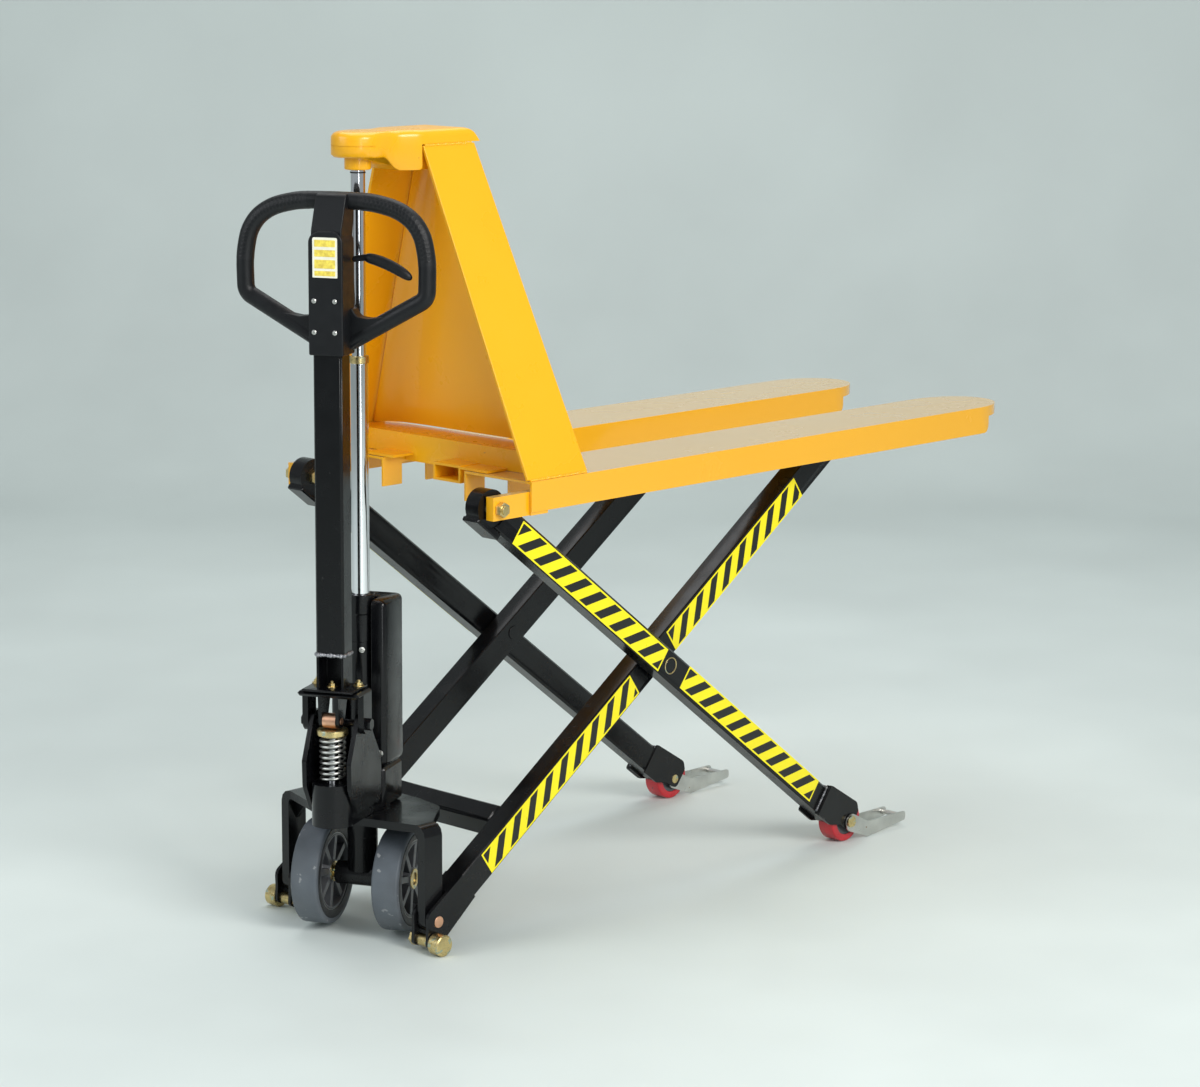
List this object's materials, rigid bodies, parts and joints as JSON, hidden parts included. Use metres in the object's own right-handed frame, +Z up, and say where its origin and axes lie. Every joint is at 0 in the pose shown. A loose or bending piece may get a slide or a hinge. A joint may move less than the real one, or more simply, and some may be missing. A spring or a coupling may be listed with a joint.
{
  "type": "high-lift scissor pallet truck",
  "caption": "Manual hydraulic scissor pallet truck: steered wheel pair with hand pump and loop handle, one scissor each side, and two forks on a leaning mast, shown raised",
  "frame": {"origin": "on the floor, under the centre of the bounding box", "axes": "+X forward along the forks, +Y to the truck's left, +Z up"},
  "size_m": [1.6426, 0.536, 1.358],
  "materials": {
    "yellow_paint": "orange-yellow gloss enamel, worn at edges",
    "black_paint": "gloss black enamel",
    "black_plastic": "moulded black plastic with dimpled grips",
    "hard_chrome": "hard chrome plated and ground",
    "yellow_zinc": "yellow passivated zinc plate",
    "copper_plate": "copper coloured plated steel",
    "bright_zinc": "bright zinc plate",
    "grey_tyre": "blue-grey rubber tread with black sidewall",
    "dark_hub": "dark grey cast hub",
    "red_polyurethane": "red polyurethane",
    "hazard_label": "lemon yellow film with black diagonal stripes"
  },
  "bodies": {
    "chassis": {"portal_frame": "black_paint", "steer_bearing": "copper_plate"},
    "turret": {"pump_body": "black_paint", "ear_plate_left": "black_paint", "ear_plate_right": "black_paint", "ram_barrel": "black_paint", "barrel_gland": "black_paint", "oil_reservoir": "black_paint", "wheel_axle": "yellow_zinc"},
    "wheel_left": {"steer_hub_left": "dark_hub", "steer_tyre_left": "grey_tyre"},
    "wheel_right": {"steer_hub_right": "dark_hub", "steer_tyre_right": "grey_tyre"},
    "plunger": {"plunger": "hard_chrome", "spring_cap": "yellow_zinc", "pump_spring": "bright_zinc"},
    "handle": {"handle_yoke": "black_paint", "handle_pivot_bolt": "black_paint", "pump_roller": "copper_plate", "handle_channel": "black_paint", "handle_tube": "black_paint", "handle_head": "black_plastic"},
    "lever": {"finger_lever": "black_plastic"},
    "first_stage": {"first_stage_tube": "hard_chrome", "stage_ring": "yellow_zinc"},
    "inner_arms": {"inner_arm_left": "black_paint", "inner_arm_right": "black_paint", "foot_left": "yellow_zinc", "foot_right": "yellow_zinc", "low_pin_left": "copper_plate", "low_pin_right": "copper_plate", "mid_pivot_pin_left": "black_paint", "mid_pivot_pin_right": "black_paint", "roller_pin_left": "yellow_zinc", "roller_pin_right": "yellow_zinc", "cross_tube": "black_paint"},
    "fork_roller_left": {"fork_roller_left": "bright_zinc"},
    "fork_roller_right": {"fork_roller_right": "bright_zinc"},
    "outer_arms": {"outer_arm_left": "black_paint", "outer_arm_right": "black_paint", "load_axle_left": "yellow_zinc", "load_axle_right": "yellow_zinc"},
    "load_roller_left": {"load_roller_left": "red_polyurethane"},
    "load_roller_right": {"load_roller_right": "red_polyurethane"},
    "entry_link_left": {"entry_link_left": "bright_zinc"},
    "entry_link_right": {"entry_link_right": "bright_zinc"},
    "fork_frame": {"fork_left": "yellow_paint", "fork_right": "yellow_paint", "top_bolt_left": "yellow_zinc", "top_bolt_right": "yellow_zinc", "mast_plate_left": "yellow_paint", "mast_plate_right": "yellow_paint", "mast_panel": "yellow_paint", "cross_beam": "yellow_paint", "head_arm": "yellow_paint", "second_stage_rod": "hard_chrome"}
  },
  "joints": [
    {"name": "scissor_lift", "type": "hinge", "parent": "chassis", "child": "inner_arms", "pos_m": [-0.65495, 0, 0.053], "axis": [0, 1, 0], "range_deg": [0, 34.5]},
    {"name": "scissor_cross", "type": "hinge", "parent": "inner_arms", "child": "outer_arms", "pos_m": [-0.13207, 0, 0.41506], "axis": [0, 1, 0], "range_deg": [-72.5, 1]},
    {"name": "fork_level", "type": "hinge", "parent": "outer_arms", "child": "fork_frame", "pos_m": [-0.57066, 0, 0.74991], "axis": [0, 1, 0], "range_deg": [-1, 37]},
    {"name": "steer", "type": "hinge", "parent": "chassis", "child": "turret", "pos_m": [-0.64895, 0, 0.21], "axis": [0, 0, 1], "range_deg": [-85.75, 34.25]},
    {"name": "wheel_left_spin", "type": "hinge", "parent": "turret", "child": "wheel_left", "pos_m": [-0.68066, 0.06575, 0.096], "axis": [-0.4344, 0.9007, 0], "continuous": true},
    {"name": "wheel_right_spin", "type": "hinge", "parent": "turret", "child": "wheel_right", "pos_m": [-0.61724, -0.06575, 0.096], "axis": [-0.4344, 0.9007, 0], "continuous": true},
    {"name": "handle_pump", "type": "hinge", "parent": "turret", "child": "handle", "pos_m": [-0.74803, -0.04779, 0.388], "axis": [0.4344, -0.9007, 0], "range_deg": [0, 60]},
    {"name": "plunger_stroke", "type": "slide", "parent": "turret", "child": "plunger", "axis": [0, 0, -1], "range_m": [-0.0005, 0.027], "stiffness_N_per_m": 1500, "springref_m": -0.01, "deforming": ["pump_spring"]},
    {"name": "lever_pull", "type": "hinge", "parent": "handle", "child": "lever", "pos_m": [-0.72875, -0.07624, 1.158], "axis": [0.9007, 0.4344, 0], "range_deg": [-10, 14]},
    {"name": "first_stage_slide", "type": "slide", "parent": "turret", "child": "first_stage", "axis": [0, 0, -1], "range_m": [-0.001, 0.392]},
    {"name": "load_roller_left_spin", "type": "hinge", "parent": "outer_arms", "child": "load_roller_left", "pos_m": [0.35914, 0.2209, 0.04005], "axis": [0, 1, 0], "continuous": true},
    {"name": "entry_link_left_swing", "type": "hinge", "parent": "outer_arms", "child": "entry_link_left", "pos_m": [0.35914, 0.2209, 0.04005], "axis": [0, 1, 0], "range_deg": [-1, 37.5]},
    {"name": "fork_roller_left_spin", "type": "hinge", "parent": "inner_arms", "child": "fork_roller_left", "pos_m": [0.36782, 0.1385, 0.7612], "axis": [0, 1, 0], "continuous": true},
    {"name": "load_roller_right_spin", "type": "hinge", "parent": "outer_arms", "child": "load_roller_right", "pos_m": [0.35914, -0.2209, 0.04005], "axis": [0, 1, 0], "continuous": true},
    {"name": "entry_link_right_swing", "type": "hinge", "parent": "outer_arms", "child": "entry_link_right", "pos_m": [0.35914, -0.2209, 0.04005], "axis": [0, 1, 0], "range_deg": [-1, 37.5]},
    {"name": "fork_roller_right_spin", "type": "hinge", "parent": "inner_arms", "child": "fork_roller_right", "pos_m": [0.36782, -0.1385, 0.7612], "axis": [0, 1, 0], "continuous": true}
  ],
  "couplings": [
    {"joint": "scissor_cross", "follows": "scissor_lift", "ratio": -2.06},
    {"joint": "fork_level", "follows": "scissor_lift", "ratio": 1.06},
    {"joint": "first_stage_slide", "follows": "scissor_lift", "m_per_rad": 0.646},
    {"joint": "plunger_stroke", "follows": "handle_pump", "m_per_rad": 0.025},
    {"joint": "entry_link_left_swing", "follows": "scissor_lift", "ratio": 1.06},
    {"joint": "entry_link_right_swing", "follows": "scissor_lift", "ratio": 1.06}
  ]
}
